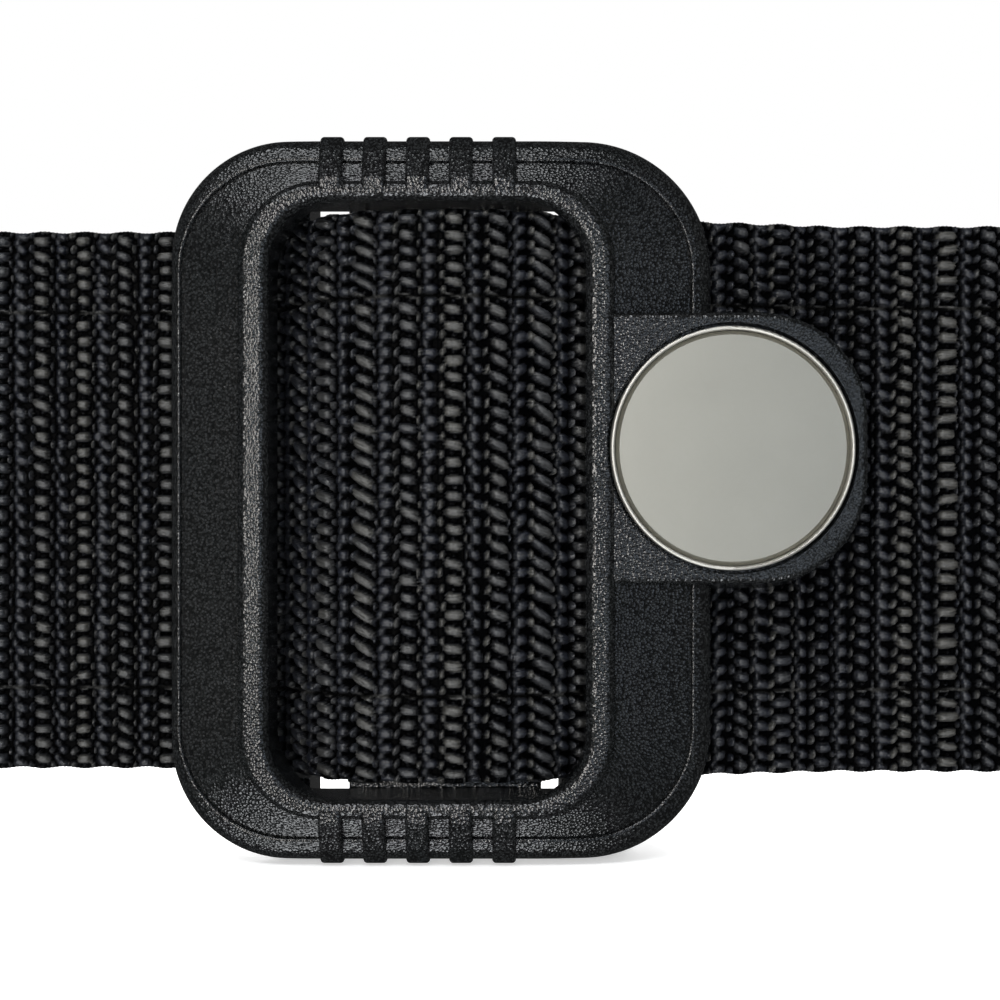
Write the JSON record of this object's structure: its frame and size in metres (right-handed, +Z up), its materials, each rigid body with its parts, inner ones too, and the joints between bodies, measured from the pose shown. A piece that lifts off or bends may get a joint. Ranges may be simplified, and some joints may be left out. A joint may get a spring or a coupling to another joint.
{
  "type": "webbing waist belt with clamping buckle",
  "caption": "Closed waist belt of woven webbing with a black moulded clamping buckle, a tilting lever frame and a round metal badge on its tab.",
  "frame": {"origin": "middle of the belt's footprint, on the surface that it stands on", "axes": "+Z up, across the webbing; +X along the buckle's webbing, towards the badge; the buckle faces -Y and the wearer's back is at +Y"},
  "size_m": [0.3468, 0.2417, 0.064],
  "materials": {
    "webbing": "coarse woven filament yarn",
    "thread": "bonded sewing thread",
    "moulded_plastic": "fine leather grain",
    "steel": "ground",
    "foam": "adhesive foam",
    "badge_metal": "polished rim",
    "badge_satin": "satin"
  },
  "bodies": {
    "belt": {"strap_webbing": "webbing", "fixed_end_stitching": "thread", "base_chassis": "moulded_plastic", "anchor_bar": "steel"},
    "lever": {"lever_frame": "moulded_plastic", "hinge_pin_upper": "steel", "hinge_pin_lower": "steel", "badge_pad": "foam", "badge_bezel": "badge_metal", "badge_face": "badge_satin"}
  },
  "joints": [
    {"name": "lever_tilt", "type": "hinge", "parent": "belt", "child": "lever", "pos_m": [-0.01384, -0.11582, 0.032], "axis": [0, 0, -1], "range_deg": [0, 25]}
  ]
}
